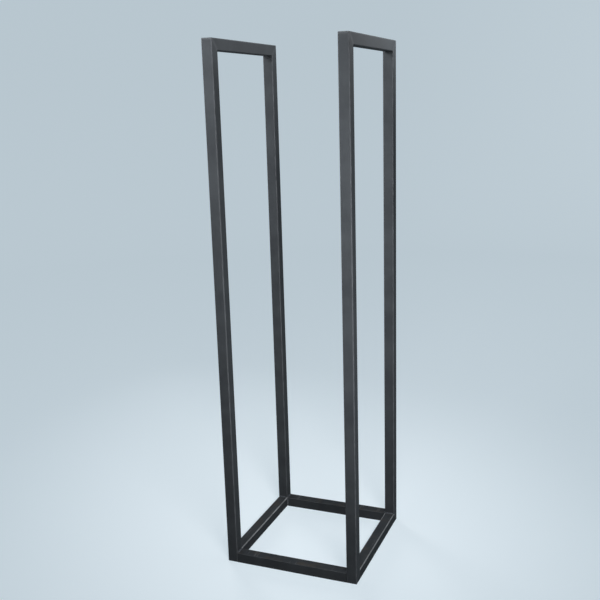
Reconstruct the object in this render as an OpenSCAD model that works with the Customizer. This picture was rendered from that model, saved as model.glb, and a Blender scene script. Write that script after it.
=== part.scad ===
// Tall open log holder, welded from square steel tube and powder coated.
// Two closed side frames of mitred tube stand upright, and two rails tie them together at the base.
// Millimetres. The origin is on the floor in the middle of the base, +Z is up and -Y is the front.

/* [Overall] */
// Width over the two side frames
rack_w = 325; // [250:5:600]
// Depth over the front and rear posts
rack_d = 325; // [250:5:500]
// Height of the side frames
rack_h = 1200; // [600:10:1800]

/* [Square tube] */
// Side of the square tube
tube_side = 25; // [20:1:40]
// Thickness of the tube's wall
tube_wall = 1.5; // [1:0.1:2]
// Outer radius of the tube's long edges
tube_edge_r = 2.5; // [2.2:0.1:4]

/* [Welds] */
// Radius to which the point of each mitre is ground after welding
ground_r = 3; // [1:0.5:4]
// Leg of the fillet weld in each inside corner
weld_leg = 3; // [2:0.25:3.5]
// How far behind the corner the centre of the weld's rounded face lies: more makes a flatter face
weld_setback = 3; // [1:0.25:8]
// Distance from each end of a weld to the rounded edge of its tube
weld_stop = 0.5; // [0:0.25:2]

/* [Vent holes] */
// Diameter of the hole under the middle of each base tube, which lets hot air out as the paint is baked
vent_d = 5; // [3:0.5:8]

/* [Hidden] */
$fn = 180;

paint = [0.23, 0.25, 0.28];
weld_paint = [0.28, 0.30, 0.33];

half_side = tube_side / 2;
// The flat of a tube's face, between its two rounded edges
tube_flat = tube_side - 2 * tube_edge_r;
weld_run = tube_flat - 2 * weld_stop;
rail_l = rack_w - 2 * tube_side;
// Middle lines of the side frames and of the posts
frame_x = rack_w / 2 - half_side;
post_y = rack_d / 2 - half_side;
// Inside corner lines, where the welds lie
inner_x = rack_w / 2 - tube_side;
inner_y = rack_d / 2 - tube_side;
inner_top_z = rack_h - tube_side;
// Signs for the two sides of the rack
left = -1;
right = 1;
front = -1;
rear = 1;

// A square with round corners, made of two crossed squares and four circles so that its arcs are true
module round_square(side, r) {
  square([side, side - 2 * r], center = true);
  square([side - 2 * r, side], center = true);
  for (x = [-1, 1], y = [-1, 1])
    translate([x, y] * (side / 2 - r)) circle(r = r);
}

// The tube's hollow section
module tube_section() {
  difference() {
    round_square(tube_side, tube_edge_r);
    round_square(tube_side - 2 * tube_wall, tube_edge_r - tube_wall);
  }
}

// A length of tube along Z, square cut, with its middle at the origin
module square_cut_tube(length) {
  linear_extrude(height = length, center = true) tube_section();
}

// A length of tube along Z, with both ends cut at 45 degrees towards +Y, the inside of its frame.
// The length is the one over the mitres' points, which are then ground round.
module mitred_tube(length) {
  intersection() {
    square_cut_tube(length + 2 * tube_side);
    rotate([90, 0, 90])
      linear_extrude(height = 2 * tube_side, center = true)
        mitred_outline(length);
  }
}

// The outline of a mitred tube seen square onto its frame, with the frame's inside towards +X.
// It runs past the tube on its long and its short side, and only its ends shape the tube.
module mitred_outline(length) {
  // Half the length that the two mitres leave at a distance x from the tube's middle line
  function half_at(x) = length / 2 - half_side - x;
  difference() {
    polygon([
      [-tube_side, -half_at(-tube_side)],
      [tube_side, -half_at(tube_side)],
      [tube_side, half_at(tube_side)],
      [-tube_side, half_at(-tube_side)]
    ]);
    for (tip = [-1, 1])
      translate([ground_r - half_side, tip * (length / 2 - ground_r)])
        difference() {
          translate([-tube_side, tip * tube_side]) square(2 * tube_side, center = true);
          circle(r = ground_r);
        }
  }
}

// A post of one side frame: side is left or right, end is front or rear
module post(side, end) {
  color(paint)
    translate([side * frame_x, end * post_y, rack_h / 2])
      rotate([0, 0, end == front ? 0 : 180])
        mitred_tube(rack_h);
}

// The short tube across the top of a side frame
module top_rail(side) {
  color(paint)
    translate([side * frame_x, 0, rack_h - half_side])
      rotate([-90, 0, 0])
        mitred_tube(rack_d);
}

// The short tube across the bottom of a side frame, with its vent hole
module base_rail(side) {
  color(paint)
    difference() {
      translate([side * frame_x, 0, half_side])
        rotate([90, 0, 0])
          mitred_tube(rack_d);
      translate([side * frame_x, 0, 0]) vent();
    }
}

// A rail that ties the two side frames together at the base, with its vent hole
module tie_rail(end) {
  color(paint)
    difference() {
      translate([0, end * post_y, half_side])
        rotate([0, 90, 0])
          square_cut_tube(rail_l);
      translate([0, end * post_y, 0]) vent();
    }
}

// The hole through the bottom wall of a tube that lies on the floor
module vent() {
  cylinder(d = vent_d, h = tube_side, center = true);
}

// A weld along X in the corner between the faces Y = 0 and Z = 0, on their positive sides.
// Its face bulges a little, and its start and stop are rounded.
module weld_bead(run) {
  face_r = norm([weld_leg + weld_setback, weld_setback]);
  end_r = weld_leg;
  intersection() {
    // The bead's section, drawn longer than the bead
    rotate([90, 0, 90])
      linear_extrude(height = run + 2 * weld_leg, center = true)
        intersection() {
          square(weld_leg + weld_setback);
          translate([-weld_setback, -weld_setback]) circle(r = face_r);
        }
    // The bead's outline as the welder sees it, a bar with round ends that is wider than the bead
    rotate([-45, 0, 0])
      linear_extrude(height = 4 * weld_leg, center = true) {
        square([run - 2 * end_r, 2 * end_r], center = true);
        for (x = [-1, 1]) translate([x * (run / 2 - end_r), 0]) circle(r = end_r);
      }
  }
}

// Turns a shape into its mirror image where flip is true, for the other side or end of the rack
module mirror_if(flip, normal) {
  if (flip) mirror(normal) children();
  else children();
}

// The weld in the inside corner of a side frame's mitre, at the top or at the base
module mitre_weld(side, end, at_top) {
  color(weld_paint)
    translate([side * frame_x, end * inner_y, at_top ? inner_top_z : tube_side])
      mirror_if(end == rear, [0, 1, 0])
        mirror_if(at_top, [0, 0, 1])
          weld_bead(weld_run);
}

// The two welds at one end of a tie rail: one on its top face and one on its inner face
module rail_weld(side, end) {
  color(weld_paint)
    mirror_if(side == right, [1, 0, 0])
      mirror_if(end == rear, [0, 1, 0]) {
        translate([-inner_x, -post_y, tube_side])
          rotate([0, 0, -90]) weld_bead(weld_run);
        translate([-inner_x, -inner_y, half_side])
          rotate([0, -90, -90]) weld_bead(weld_run);
      }
}

module left_front_post() { post(left, front); }
module left_rear_post() { post(left, rear); }
module left_top_rail() { top_rail(left); }
module left_base_rail() { base_rail(left); }
module right_front_post() { post(right, front); }
module right_rear_post() { post(right, rear); }
module right_top_rail() { top_rail(right); }
module right_base_rail() { base_rail(right); }
module front_rail() { tie_rail(front); }
module rear_rail() { tie_rail(rear); }
module left_front_top_weld() { mitre_weld(left, front, true); }
module left_rear_top_weld() { mitre_weld(left, rear, true); }
module left_front_base_weld() { mitre_weld(left, front, false); }
module left_rear_base_weld() { mitre_weld(left, rear, false); }
module right_front_top_weld() { mitre_weld(right, front, true); }
module right_rear_top_weld() { mitre_weld(right, rear, true); }
module right_front_base_weld() { mitre_weld(right, front, false); }
module right_rear_base_weld() { mitre_weld(right, rear, false); }
module front_rail_left_weld() { rail_weld(left, front); }
module front_rail_right_weld() { rail_weld(right, front); }
module rear_rail_left_weld() { rail_weld(left, rear); }
module rear_rail_right_weld() { rail_weld(right, rear); }

left_front_post();
left_rear_post();
left_top_rail();
left_base_rail();
right_front_post();
right_rear_post();
right_top_rail();
right_base_rail();
front_rail();
rear_rail();
left_front_top_weld();
left_rear_top_weld();
left_front_base_weld();
left_rear_base_weld();
right_front_top_weld();
right_rear_top_weld();
right_front_base_weld();
right_rear_base_weld();
front_rail_left_weld();
front_rail_right_weld();
rear_rail_left_weld();
rear_rail_right_weld();
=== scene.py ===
import math
import random
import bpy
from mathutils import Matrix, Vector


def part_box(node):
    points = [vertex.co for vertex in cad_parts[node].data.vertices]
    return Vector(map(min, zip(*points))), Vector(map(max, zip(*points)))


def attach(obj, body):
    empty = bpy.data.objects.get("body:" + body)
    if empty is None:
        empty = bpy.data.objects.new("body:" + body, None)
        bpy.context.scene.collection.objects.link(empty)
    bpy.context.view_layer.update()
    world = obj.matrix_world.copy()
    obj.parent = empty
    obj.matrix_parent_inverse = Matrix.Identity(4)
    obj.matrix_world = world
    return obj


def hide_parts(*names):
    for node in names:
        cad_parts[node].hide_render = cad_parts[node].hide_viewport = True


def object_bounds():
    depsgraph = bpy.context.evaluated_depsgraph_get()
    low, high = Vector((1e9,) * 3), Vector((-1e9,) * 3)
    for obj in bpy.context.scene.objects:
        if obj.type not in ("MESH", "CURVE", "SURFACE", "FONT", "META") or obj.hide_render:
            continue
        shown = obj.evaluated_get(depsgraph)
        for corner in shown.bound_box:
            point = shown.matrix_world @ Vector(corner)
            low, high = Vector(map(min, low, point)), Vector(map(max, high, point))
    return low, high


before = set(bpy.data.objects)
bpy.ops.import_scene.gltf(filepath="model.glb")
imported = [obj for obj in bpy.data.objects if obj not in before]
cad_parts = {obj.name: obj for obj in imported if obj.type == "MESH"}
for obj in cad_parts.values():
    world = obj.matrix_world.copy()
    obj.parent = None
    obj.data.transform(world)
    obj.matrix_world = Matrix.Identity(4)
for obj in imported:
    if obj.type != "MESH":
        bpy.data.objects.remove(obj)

from types import SimpleNamespace

import bmesh
import bpy
from mathutils import Matrix, Quaternion, Vector

cad_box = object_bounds()

# The camera stands in front of the rack, a little to its right and just under the top of its posts,
# and looks slightly down. A small sideways shift keeps the rack left of the middle of the picture.
picture_side = 600
focal_length_px = 836.5
camera_place = Vector((0.7182, -1.7613, 1.0727))
look_from_azimuth = math.radians(20.434)
look_down = math.radians(13.529)
camera_tilt = math.radians(-1.071)
middle_px = 335
camera_data = bpy.data.cameras.new("camera")
camera_data.sensor_width = 36
camera_data.lens = camera_data.sensor_width * focal_length_px / picture_side
camera_data.shift_x = (picture_side / 2 - middle_px) / picture_side
camera = bpy.data.objects.new("camera", camera_data)
towards_camera = Vector((
    math.sin(look_from_azimuth) * math.cos(look_down),
    -math.cos(look_from_azimuth) * math.cos(look_down),
    math.sin(look_down),
))
camera.rotation_mode = "QUATERNION"
camera.rotation_quaternion = (
    (-towards_camera).to_track_quat("-Z", "Y") @ Quaternion((0, 0, 1), camera_tilt)
)
camera.location = camera_place
bpy.context.scene.collection.objects.link(camera)
bpy.context.scene.camera = camera

# Each side frame is four lengths of square steel tube, mitred and welded into a closed rectangle.
# Its seams are ground flush on the outside, and the whole rack has a baked coat of dark grey powder,
# dull and a little rippled. Its edges are painted paler, partly as thinner coat and partly as painted
# highlight.
tube_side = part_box("front_rail")[1].z
half_depth = cad_box[1].y
rack_height = cad_box[1].z
coat_dark = (0.036, 0.0405, 0.0455, 1)
coat_light = (0.050, 0.056, 0.062, 1)
# Paler colour of thin coat on edges and ground mitres, and of the painted highlight along the edges.
thin_coat_and_highlight = (0.17, 0.18, 0.195, 1)
coat_roughness = 0.72
roughness_in_patches = 0.08
roughness_below = 0.37
coat_gleam = 0.12
peel_depth = 0.00012
thinned_by_grinding = 0.08


def add_node(tree, kind, inputs=None, **settings):
    made = tree.nodes.new(kind)
    for name, value in settings.items():
        setattr(made, name, value)
    for name, value in (inputs or {}).items():
        if isinstance(value, bpy.types.NodeSocket):
            tree.links.new(value, made.inputs[name])
        else:
            made.inputs[name].default_value = value
    return made


def maths(tree, operation, first, second=0.0):
    return add_node(tree, "ShaderNodeMath", {0: first, 1: second}, operation=operation).outputs[0]


def fade(tree, value, start, end):
    """0 where the value is at start, 1 where it is at end, and a smooth slope between them."""
    made = add_node(
        tree,
        "ShaderNodeMapRange",
        {"Value": value, "From Min": start, "From Max": end, "To Min": 0.0, "To Max": 1.0},
        interpolation_type="SMOOTHSTEP",
    )
    return made.outputs["Result"]


def noise(tree, place, scale, detail, roughness=0.5):
    made = add_node(
        tree,
        "ShaderNodeTexNoise",
        {"Vector": place, "Scale": scale, "Detail": detail, "Roughness": roughness},
    )
    return made.outputs["Fac"]


def shader_group(name, inputs, outputs):
    """An empty node group with number inputs, each with its value, and number outputs."""
    tree = bpy.data.node_groups.new(name, "ShaderNodeTree")
    for socket, value in inputs.items():
        made = tree.interface.new_socket(name=socket, in_out="INPUT", socket_type="NodeSocketFloat")
        made.default_value = value
    for socket in outputs:
        tree.interface.new_socket(name=socket, in_out="OUTPUT", socket_type="NodeSocketFloat")
    return tree, tree.nodes.new("NodeGroupInput").outputs, tree.nodes.new("NodeGroupOutput").inputs


def powder_grain_group():
    """The coat's fine orange peel, as a height, its cloudy patches, and what of it faces down."""
    tree, given, result = shader_group(
        "powder_grain",
        {"Peel per metre": 600.0, "Patches per metre": 14.0},
        ["Height", "Patches", "Below"],
    )
    place = add_node(tree, "ShaderNodeTexCoord").outputs["Object"]
    peel = noise(tree, place, given["Peel per metre"], detail=2.0, roughness=0.45)
    patches = noise(tree, place, given["Patches per metre"], detail=4.0, roughness=0.6)
    tree.links.new(peel, result["Height"])
    tree.links.new(fade(tree, patches, start=0.3, end=0.7), result["Patches"])
    facing = add_node(tree, "ShaderNodeNewGeometry").outputs["Normal"]
    up = add_node(tree, "ShaderNodeSeparateXYZ", {0: facing}).outputs["Z"]
    tree.links.new(fade(tree, up, start=-0.3, end=-0.9), result["Below"])
    return tree


def edge_wear_and_highlight_group():
    """Painted highlight, partly thin coat, where a tube's surface turns from face to face, broken up,
    and not on edges that face down.
    """
    tree, given, result = shader_group(
        "edge_wear_and_highlight",
        {"Breaks per metre": 55.0, "Evenness": 0.6, "Starts": 0.995, "Full": 0.93},
        ["Shine"],
    )
    facing = add_node(tree, "ShaderNodeNewGeometry").outputs["Normal"]
    size = add_node(tree, "ShaderNodeVectorMath", {0: facing}, operation="ABSOLUTE").outputs[0]
    parts = add_node(tree, "ShaderNodeSeparateXYZ", {0: size}).outputs
    widest = maths(tree, "MAXIMUM", maths(tree, "MAXIMUM", parts["X"], parts["Y"]), parts["Z"])
    up = add_node(tree, "ShaderNodeSeparateXYZ", {0: facing}).outputs["Z"]
    turned = fade(tree, widest, given["Starts"], given["Full"])
    turned = maths(tree, "MULTIPLY", turned, fade(tree, up, start=-0.4, end=-0.05))
    place = add_node(tree, "ShaderNodeTexCoord").outputs["Object"]
    breaks = noise(tree, place, given["Breaks per metre"], detail=3.0)
    broken = fade(tree, breaks, start=0.35, end=0.62)
    uneven = maths(tree, "MULTIPLY", maths(tree, "SUBTRACT", 1.0, given["Evenness"]), broken)
    cover = maths(tree, "ADD", given["Evenness"], uneven)
    tree.links.new(maths(tree, "MULTIPLY", turned, cover), result["Shine"])
    return tree


def ground_mitre_group():
    """The flat that is ground over each mitre seam of the side frames, and the seam's faint line."""
    tree, given, result = shader_group(
        "ground_mitre",
        {"Ground width": 0.009, "Seam width": 0.0009, "Raggedness": 0.004, "Rags per metre": 160.0},
        ["Ground", "Seam"],
    )
    place = add_node(tree, "ShaderNodeTexCoord").outputs["Object"]
    parts = add_node(tree, "ShaderNodeSeparateXYZ", {0: place}).outputs
    from_end = maths(tree, "SUBTRACT", half_depth, maths(tree, "ABSOLUTE", parts["Y"]))
    from_level = maths(tree, "MINIMUM", maths(tree, "SUBTRACT", rack_height, parts["Z"]), parts["Z"])
    off_seam = maths(tree, "ABSOLUTE", maths(tree, "SUBTRACT", from_end, from_level))
    in_corner = maths(tree, "MAXIMUM", from_end, from_level)
    in_corner = fade(tree, in_corner, start=tube_side * 1.1, end=tube_side * 1.02)
    ragged = noise(tree, place, given["Rags per metre"], detail=2.0)
    ragged = maths(tree, "MULTIPLY", ragged, given["Raggedness"])
    ground = fade(
        tree,
        maths(tree, "ADD", off_seam, ragged),
        start=given["Ground width"],
        end=maths(tree, "MULTIPLY", given["Ground width"], 0.5),
    )
    seam = fade(tree, off_seam, start=given["Seam width"], end=0.0)
    tree.links.new(maths(tree, "MULTIPLY", ground, in_corner), result["Ground"])
    tree.links.new(maths(tree, "MULTIPLY", seam, in_corner), result["Seam"])
    return tree


powder_grain = powder_grain_group()
edge_wear_and_highlight = edge_wear_and_highlight_group()
ground_mitre = ground_mitre_group()


def place_group(coat, group, values=None):
    return add_node(coat.tree, "ShaderNodeGroup", values, node_tree=group).outputs


def lay_over(coat, colour, share, roughness=0.0):
    """Lays a colour over the coat by a share from 0 to 1, and adds to its roughness by that share."""
    made = add_node(coat.tree, "ShaderNodeMix", {0: share, 7: colour}, data_type="RGBA")
    if isinstance(coat.colour, bpy.types.NodeSocket):
        coat.tree.links.new(coat.colour, made.inputs[6])
    else:
        made.inputs[6].default_value = coat.colour
    coat.colour = made.outputs[2]
    coat.roughness = maths(
        coat.tree, "ADD", coat.roughness, maths(coat.tree, "MULTIPLY", share, roughness)
    )


def press_in(coat, share, depth):
    """Lowers the coat's surface by a share of its peel's depth."""
    coat.height = maths(coat.tree, "SUBTRACT", coat.height, maths(coat.tree, "MULTIPLY", share, depth))


def start_coat(name, patches_per_metre=14.0, roughness=coat_roughness):
    """The powder coat with its patches and its peel, duller underneath, where less powder settles."""
    material = bpy.data.materials.new(name)
    material.use_nodes = True
    coat = SimpleNamespace(
        material=material, tree=material.node_tree, colour=coat_dark, roughness=roughness
    )
    grain = place_group(coat, powder_grain, {"Patches per metre": patches_per_metre})
    coat.height = grain["Height"]
    lay_over(coat, coat_light, grain["Patches"], roughness_in_patches)
    duller = maths(coat.tree, "MULTIPLY", grain["Below"], roughness_below)
    coat.roughness = maths(coat.tree, "ADD", coat.roughness, duller)
    return coat


def finish_coat(coat, depth=peel_depth):
    shader = coat.tree.nodes["Principled BSDF"]
    bump = add_node(
        coat.tree, "ShaderNodeBump", {"Height": coat.height, "Strength": 1.0, "Distance": depth}
    )
    coat.tree.links.new(coat.colour, shader.inputs["Base Color"])
    coat.tree.links.new(coat.roughness, shader.inputs["Roughness"])
    coat.tree.links.new(bump.outputs["Normal"], shader.inputs["Normal"])
    shader.inputs["Metallic"].default_value = 0.0
    shader.inputs["IOR"].default_value = 1.5
    shader.inputs["Specular IOR Level"].default_value = coat_gleam
    return coat.material


# Lays paler colour along the edges: painted highlight, partly thinner coat.
def paint_edge_wear_and_highlight(coat, colour, share, **values):
    wear_and_highlight = place_group(coat, edge_wear_and_highlight, values)["Shine"]
    lay_over(coat, colour, maths(coat.tree, "MULTIPLY", wear_and_highlight, share), roughness=-0.25)


def grind_mitres(coat):
    mitre = place_group(coat, ground_mitre)
    thinned = maths(coat.tree, "MULTIPLY", mitre["Ground"], thinned_by_grinding)
    lay_over(coat, thin_coat_and_highlight, thinned, roughness=-1.0)
    press_in(coat, mitre["Ground"], depth=0.3)
    press_in(coat, mitre["Seam"], depth=0.8)


def dress(tubes, material):
    for tube in tubes:
        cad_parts[tube].material_slots[0].material = material


coat = start_coat("side_frame_coat")
# The side frames' edges get painted highlight, partly thin coat.
paint_edge_wear_and_highlight(coat, thin_coat_and_highlight, share=0.36)
grind_mitres(coat)
side_frame_coat = finish_coat(coat)
for side in ("left", "right"):
    dress([f"{side}_front_post", f"{side}_rear_post", f"{side}_top_rail"], side_frame_coat)

# The bottom tube of each side frame is the same tube, mitred, welded and coated with the rest. Loading
# the rack dulls its coat and leaves scratches and brown dust on its top. Its top edges are painted
# pale, partly as rubbed wear and partly as painted highlight.
# Pale edge colour: partly rubbed wear, partly painted highlight.
rubbed_edge_and_highlight = (0.36, 0.38, 0.40, 1)
coat_scratched = (0.14, 0.145, 0.155, 1)
brown_dust = (0.12, 0.095, 0.07, 1)
worn_roughness = 0.87


def scuff_group():
    """Fine scratches that run front to back, and dust, both on what faces up."""
    tree, given, result = shader_group(
        "scuff", {"Scratches per metre": 90.0, "Dust per metre": 35.0}, ["Scratches", "Dust"]
    )
    place = add_node(tree, "ShaderNodeTexCoord").outputs["Object"]
    facing = add_node(tree, "ShaderNodeNewGeometry").outputs["Normal"]
    up = add_node(tree, "ShaderNodeSeparateXYZ", {0: facing}).outputs["Z"]
    upwards = fade(tree, up, start=0.5, end=0.9)
    drawn = add_node(tree, "ShaderNodeMapping", {"Vector": place, "Scale": (1.0, 0.08, 1.0)}).outputs[0]
    scratches = noise(tree, drawn, given["Scratches per metre"], detail=6.0, roughness=0.75)
    scratches = fade(tree, scratches, start=0.56, end=0.68)
    dust = fade(tree, noise(tree, place, given["Dust per metre"], detail=5.0), start=0.45, end=0.75)
    tree.links.new(maths(tree, "MULTIPLY", scratches, upwards), result["Scratches"])
    tree.links.new(maths(tree, "MULTIPLY", dust, upwards), result["Dust"])
    return tree


scuff = scuff_group()


def scuff_top(coat, scratched, dusty):
    marks = place_group(coat, scuff)
    scratches = maths(coat.tree, "MULTIPLY", marks["Scratches"], scratched)
    lay_over(coat, coat_scratched, scratches, roughness=0.1)
    lay_over(coat, brown_dust, maths(coat.tree, "MULTIPLY", marks["Dust"], dusty), roughness=0.8)
    press_in(coat, marks["Scratches"], depth=0.3)


coat = start_coat("base_rail_coat", roughness=worn_roughness)
# Pale top edges: partly rubbed wear, partly painted highlight.
paint_edge_wear_and_highlight(coat, rubbed_edge_and_highlight, share=0.85, Starts=0.9995, Full=0.97)
grind_mitres(coat)
scuff_top(coat, scratched=0.5, dusty=0.25)
dress(["left_base_rail", "right_base_rail"], finish_coat(coat))

# The two rails that tie the side frames together are square cut from the same tube and welded in
# between them, flat on the floor. They bear the load, so they have the most scratches and dust.
coat = start_coat("tie_rail_coat", roughness=worn_roughness)
# The tie rails' edges get a faint painted highlight, partly thin coat.
paint_edge_wear_and_highlight(coat, thin_coat_and_highlight, share=0.15)
scuff_top(coat, scratched=0.7, dusty=0.3)
dress(["front_rail", "rear_rail"], finish_coat(coat))

# The welds are fillets of weld metal, about 3 mm in the leg, in the inside corners of the side frames
# and where the two rails meet them. Each is one short run of overlapping ripples that stops in a small
# crater. They are left as laid and coated with the tubes, so the powder softens their ripples. Their
# troughs are painted darker as shade, and their crests paler, partly as thin coat and partly as painted
# highlight.
weld_leg = 0.003
weld_setback = 0.003
weld_run = 0.019
ripple_pitch = 0.0013
ripple_depth = 0.07
ripple_bow = 0.0012
ripple_lean = 1.6
rings_per_ripple = 5
crater_depth = 0.22
crater_from_end = 0.0032
crater_radius = 0.0013
end_size = 0.25
unevenness = 0.07
sharpest_ripple = math.radians(50)
# Painted shade in the ripples' troughs; paler crests, partly thin coat and partly painted highlight.
ripple_trough_shade = (0.030, 0.034, 0.040, 1)
crest_thin_coat_and_highlight = (0.17, 0.185, 0.21, 1)
crest_thin_coat_and_highlight_share = 0.7


def lay_bead(place, hand):
    """A rippled bead along X in the corner between the faces Y = 0 and Z = 0, moved to its place."""
    mesh = bmesh.new()
    crest_of = mesh.verts.layers.float.new("crest")
    half_run = weld_run / 2
    first_toe = mesh.verts.new((-half_run, weld_leg, 0))
    tilt = math.atan2(weld_setback, weld_leg + weld_setback)
    spun = bmesh.ops.spin(
        mesh,
        geom=[first_toe],
        cent=(-half_run, -weld_setback, -weld_setback),
        axis=(1, 0, 0),
        angle=math.pi / 2 - 2 * tilt,
        steps=8,
    )
    last_toe = [part for part in spun["geom_last"] if isinstance(part, bmesh.types.BMVert)][0]
    root = mesh.verts.new((-half_run, 0, 0))
    mesh.edges.new((last_toe, root))
    mesh.edges.new((root, first_toe))
    first_ring = list(mesh.edges)
    ring = first_ring
    rings = round(weld_run / ripple_pitch) * rings_per_ripple
    for _ in range(rings):
        extruded = bmesh.ops.extrude_edge_only(mesh, edges=ring)["geom"]
        ring = [part for part in extruded if isinstance(part, bmesh.types.BMEdge)]
        moved = {vert for edge in ring for vert in edge.verts}
        bmesh.ops.translate(mesh, vec=(weld_run / rings, 0, 0), verts=list(moved))
    bmesh.ops.contextual_create(mesh, geom=first_ring)
    bmesh.ops.contextual_create(mesh, geom=ring)
    sizes = [1.0 - unevenness * hand.random() for _ in range(rings // rings_per_ripple + 2)]
    for vert in mesh.verts:
        across = (vert.co.y - vert.co.z) / weld_leg
        laid = (vert.co.x + half_run + ripple_bow * (1.0 - across ** 2)) / ripple_pitch
        number = min(int(laid), len(sizes) - 2)
        share = min(laid - number, 1.0)
        crest = math.sin(math.pi * share ** ripple_lean)
        size = sizes[number] * (1.0 - share) + sizes[number + 1] * share
        size *= 1.0 - ripple_depth * (1.0 - crest)
        from_crater = math.hypot(vert.co.x - half_run + crater_from_end, across * weld_leg / 2)
        size -= crater_depth * math.exp(-((from_crater / crater_radius) ** 2))
        from_end = max(half_run - abs(vert.co.x), 0.0)
        if from_end < weld_leg:
            size *= end_size + (1.0 - end_size) * math.sqrt(1.0 - (1.0 - from_end / weld_leg) ** 2)
        vert.co.y *= size
        vert.co.z *= size
        vert[crest_of] = crest
    bmesh.ops.transform(mesh, matrix=place, verts=mesh.verts)
    bmesh.ops.recalc_face_normals(mesh, faces=mesh.faces)
    return mesh


coat = start_coat("weld_coat", patches_per_metre=40.0)
crest = add_node(coat.tree, "ShaderNodeAttribute", attribute_name="crest").outputs["Fac"]
# Painted shade in the troughs, and painted highlight, partly thin coat, on the crests.
lay_over(coat, ripple_trough_shade, fade(coat.tree, crest, start=0.5, end=0.0), roughness=0.1)
on_crest = fade(coat.tree, crest, start=0.3, end=0.9)
on_crest = maths(coat.tree, "MULTIPLY", on_crest, crest_thin_coat_and_highlight_share)
lay_over(coat, crest_thin_coat_and_highlight, on_crest, roughness=-0.2)
weld_coat = finish_coat(coat, depth=peel_depth / 2)


def lay_welds(node, corners):
    """The beads of one node of the frame, each given by its corner and the directions of its axes."""
    name = node.replace("weld", "ripples")
    hand = random.Random(name)
    data = bpy.data.meshes.new(name)
    whole = bmesh.new()
    for corner, along, from_first, from_second in corners:
        turn = Matrix((along, from_first, from_second)).transposed().to_4x4()
        bead = lay_bead(Matrix.Translation(corner) @ turn, hand)
        bead.to_mesh(data)
        bead.free()
        whole.from_mesh(data)
    for face in whole.faces:
        face.smooth = len(face.verts) == 4
    for edge in whole.edges:
        edge.smooth = edge.calc_face_angle(0.0) < sharpest_ripple
    whole.to_mesh(data)
    whole.free()
    data.materials.append(weld_coat)
    piece = bpy.data.objects.new(name, data)
    bpy.context.scene.collection.objects.link(piece)
    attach(piece, "root")
    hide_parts(node)


half_width = cad_box[1].x
inner_y = half_depth - tube_side
inner_x = half_width - tube_side
middle_x = half_width - tube_side / 2
middle_y = half_depth - tube_side / 2
along_x, along_y, along_z = Vector((1, 0, 0)), Vector((0, 1, 0)), Vector((0, 0, 1))
levels = (("top", rack_height - tube_side, -1), ("base", tube_side, 1))
for side_name, side in (("left", -1), ("right", 1)):
    for end_name, end in (("front", -1), ("rear", 1)):
        for level_name, level, inwards in levels:
            corner = Vector((side * middle_x, end * inner_y, level))
            bead = (corner, along_x, -end * along_y, inwards * along_z)
            lay_welds(f"{side_name}_{end_name}_{level_name}_weld", [bead])
        top_corner = Vector((side * inner_x, end * middle_y, tube_side))
        inner_corner = Vector((side * inner_x, end * inner_y, tube_side / 2))
        top_bead = (top_corner, along_y, -side * along_x, along_z)
        inner_bead = (inner_corner, along_z, -side * along_x, -end * along_y)
        lay_welds(f"{end_name}_rail_{side_name}_weld", [top_bead, inner_bead])

# The rack stands on a plain pale studio floor that sweeps up into a round wall, so that no line of
# horizon shows from any side. It looks pale, but throws little light back on the rack's underside.
floor_radius = 4.0
sweep_radius = 1.2
wall_height = 3.5
floor_seen = (0.43, 0.44, 0.45, 1)
floor_glow = (0.475, 0.56, 0.615, 1)
floor_bounce = (0.06, 0.065, 0.07, 1)
mesh = bmesh.new()
middle = mesh.verts.new((0, 0, 0))
rim = mesh.verts.new((floor_radius, 0, 0))
mesh.edges.new((middle, rim))
swept = bmesh.ops.spin(
    mesh,
    geom=[rim],
    cent=(floor_radius, 0, sweep_radius),
    axis=(0, -1, 0),
    angle=math.pi / 2,
    steps=16,
)
wall_foot = [part for part in swept["geom_last"] if isinstance(part, bmesh.types.BMVert)][0]
wall_top = mesh.verts.new((wall_foot.co.x, 0, wall_height))
mesh.edges.new((wall_foot, wall_top))
bmesh.ops.spin(
    mesh,
    geom=list(mesh.verts) + list(mesh.edges),
    cent=(0, 0, 0),
    axis=(0, 0, 1),
    angle=2 * math.pi,
    steps=96,
    use_merge=True,
)
bmesh.ops.remove_doubles(mesh, verts=mesh.verts, dist=1e-5)
bmesh.ops.recalc_face_normals(mesh, faces=mesh.faces)
for face in mesh.faces:
    face.smooth = True
floor_data = bpy.data.meshes.new("floor")
mesh.to_mesh(floor_data)
mesh.free()
floor_finish = bpy.data.materials.new("floor_paper")
floor_finish.use_nodes = True
tree = floor_finish.node_tree
tree.nodes.remove(tree.nodes["Principled BSDF"])
seen_paper = add_node(tree, "ShaderNodeBsdfDiffuse", {"Color": floor_seen})
glow = add_node(tree, "ShaderNodeEmission", {"Color": floor_glow, "Strength": 1.0})
seen = add_node(tree, "ShaderNodeAddShader", {0: seen_paper.outputs[0], 1: glow.outputs[0]})
bounce = add_node(tree, "ShaderNodeBsdfDiffuse", {"Color": floor_bounce})
rays = add_node(tree, "ShaderNodeLightPath")
seen_share = maths(tree, "MAXIMUM", rays.outputs["Is Camera Ray"], rays.outputs["Is Glossy Ray"])
seen_share = maths(tree, "MAXIMUM", seen_share, rays.outputs["Is Transmission Ray"])
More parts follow.
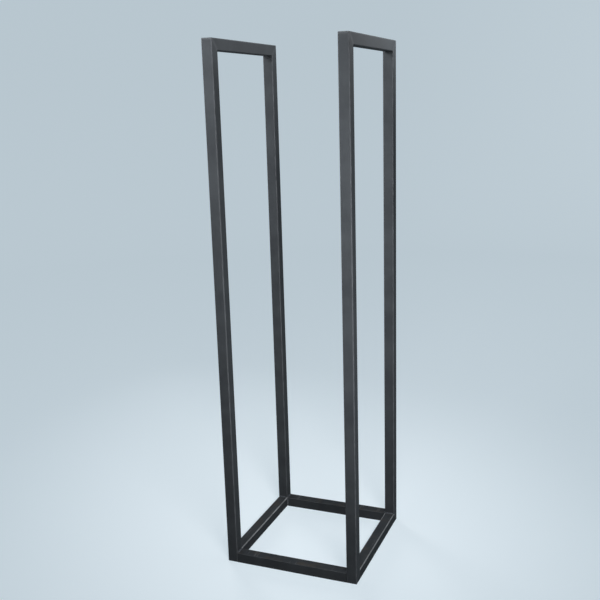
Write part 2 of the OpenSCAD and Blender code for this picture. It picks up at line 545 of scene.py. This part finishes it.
either = add_node(
    tree, "ShaderNodeMixShader", {0: seen_share, 1: bounce.outputs[0], 2: seen.outputs[0]}
)
tree.links.new(either.outputs[0], tree.nodes["Material Output"].inputs["Surface"])
floor_data.materials.append(floor_finish)
floor = bpy.data.objects.new("floor", floor_data)
bpy.context.scene.collection.objects.link(floor)

# The light comes from soft lamps with grids that keep it off the base: one in front of each side
# frame, and a small one at the right that lights the top rails. Three fills that leave no gleam
# lighten the back, the right side and the tops, and the room gives an even cool glow.
room_colour = (0.60, 0.78, 1.0, 1)


def soft_lamp(name, place, aim, width, watts, spread):
    data = bpy.data.lights.new(name, "AREA")
    data.shape = "DISK"
    data.size = width
    data.energy = watts
    data.spread = math.radians(spread)
    lamp = bpy.data.objects.new(name, data)
    lamp.location = place
    lamp.rotation_euler = (Vector(aim) - Vector(place)).to_track_quat("-Z", "Y").to_euler()
    lamp.visible_camera = False
    bpy.context.scene.collection.objects.link(lamp)
    return lamp


soft_lamp("left_lamp", place=(-0.5, -1.6, 1.45), aim=(0, 0, 1.3), width=0.7, watts=4.5, spread=50)
soft_lamp("right_lamp", place=(0.66, -1.06, 1.02), aim=(0, 0, 0.44), width=0.7, watts=3.1, spread=62)
soft_lamp("side_lamp", place=(0.6, 0.36, 1.43), aim=(0, 0, 1.4), width=0.35, watts=2.2, spread=80)
rear_fill = soft_lamp(
    "rear_fill", place=(-1.5, 1.5, 0.7), aim=(0, 0, 0.9), width=0.9, watts=10, spread=70
)
side_fill = soft_lamp(
    "side_fill", place=(0.9, 0.2, 0.55), aim=(0.16, 0.05, 0.55), width=0.9, watts=0.5, spread=130
)
top_fill = soft_lamp(
    "top_fill", place=(0, 0, 2.1), aim=(0, 0, 0), width=0.5, watts=0.4, spread=60
)
for fill in (rear_fill, side_fill, top_fill):
    fill.visible_glossy = False
room = bpy.data.worlds.new("room")
room.use_nodes = True
room_glow = room.node_tree.nodes["Background"]
room_glow.inputs["Color"].default_value = room_colour
room_glow.inputs["Strength"].default_value = 0.06
bpy.context.scene.world = room
bpy.context.scene.view_settings.view_transform = "Standard"
